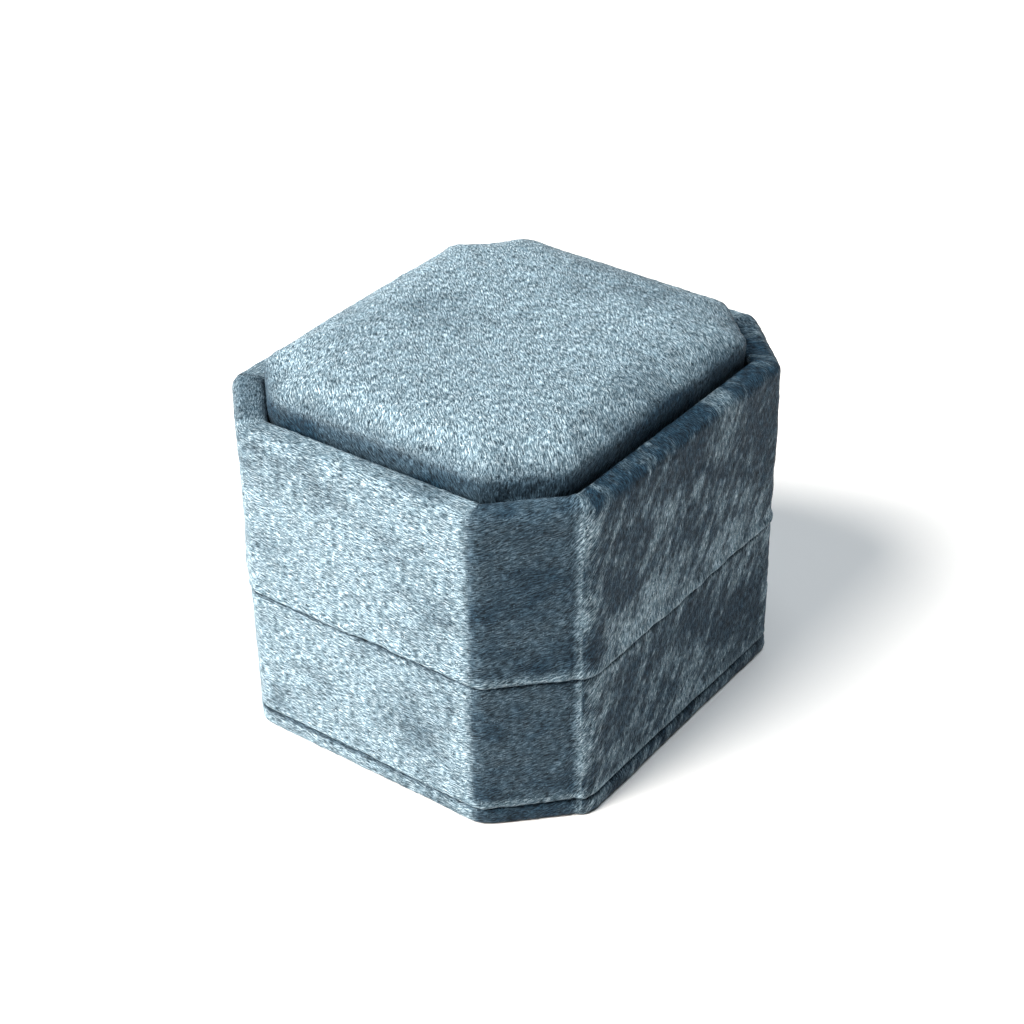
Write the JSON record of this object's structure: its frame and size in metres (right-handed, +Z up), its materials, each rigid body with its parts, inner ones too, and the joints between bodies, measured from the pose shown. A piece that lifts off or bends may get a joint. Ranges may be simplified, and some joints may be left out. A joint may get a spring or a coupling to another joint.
{
  "type": "ring box",
  "caption": "Cut-corner velvet ring box: a padded-top lid lifts off a velvet collar round a slotted ring pad; greyboard walls wrapped in dusty blue velvet.",
  "frame": {"origin": "middle of the underside of the foot plate, on the surface the box stands on", "axes": "+X along the longer side, +Y along the shorter side, parallel to them across the box, +Z up, the way the lid lifts"},
  "size_m": [0.057, 0.051, 0.0454],
  "materials": {
    "velvet": "crushed-look velvet with a soft pile, dusty slate blue",
    "lining": "smooth short-pile velour lining, slate blue",
    "greyboard": "uncoated grey bookbinder's board",
    "foam": "fine open-cell upholstery foam, off-white"
  },
  "bodies": {
    "base": {"base_plate_board": "greyboard", "base_plate_cover": "velvet", "base_frame": "greyboard", "base_side_wrap": "velvet", "base_floor_board": "greyboard", "collar_board": "greyboard", "collar_wrap": "velvet", "ring_pad_board": "greyboard", "ring_pad_foam_front": "foam", "ring_pad_foam_back": "foam", "ring_pad_cover_front": "velvet", "ring_pad_cover_back": "velvet"},
    "lid": {"lid_frame": "greyboard", "lid_side_wrap": "velvet", "lid_panel": "greyboard", "lid_lining": "lining", "cushion_board": "greyboard", "cushion_foam": "foam", "cushion_cover": "velvet", "ceiling_board": "greyboard", "ceiling_foam": "foam", "ceiling_cover": "lining"}
  },
  "joints": [
    {"name": "lift_off", "type": "slide", "parent": "base", "child": "lid", "axis": [0, 0, 1], "range_m": [0, 0.028]}
  ]
}
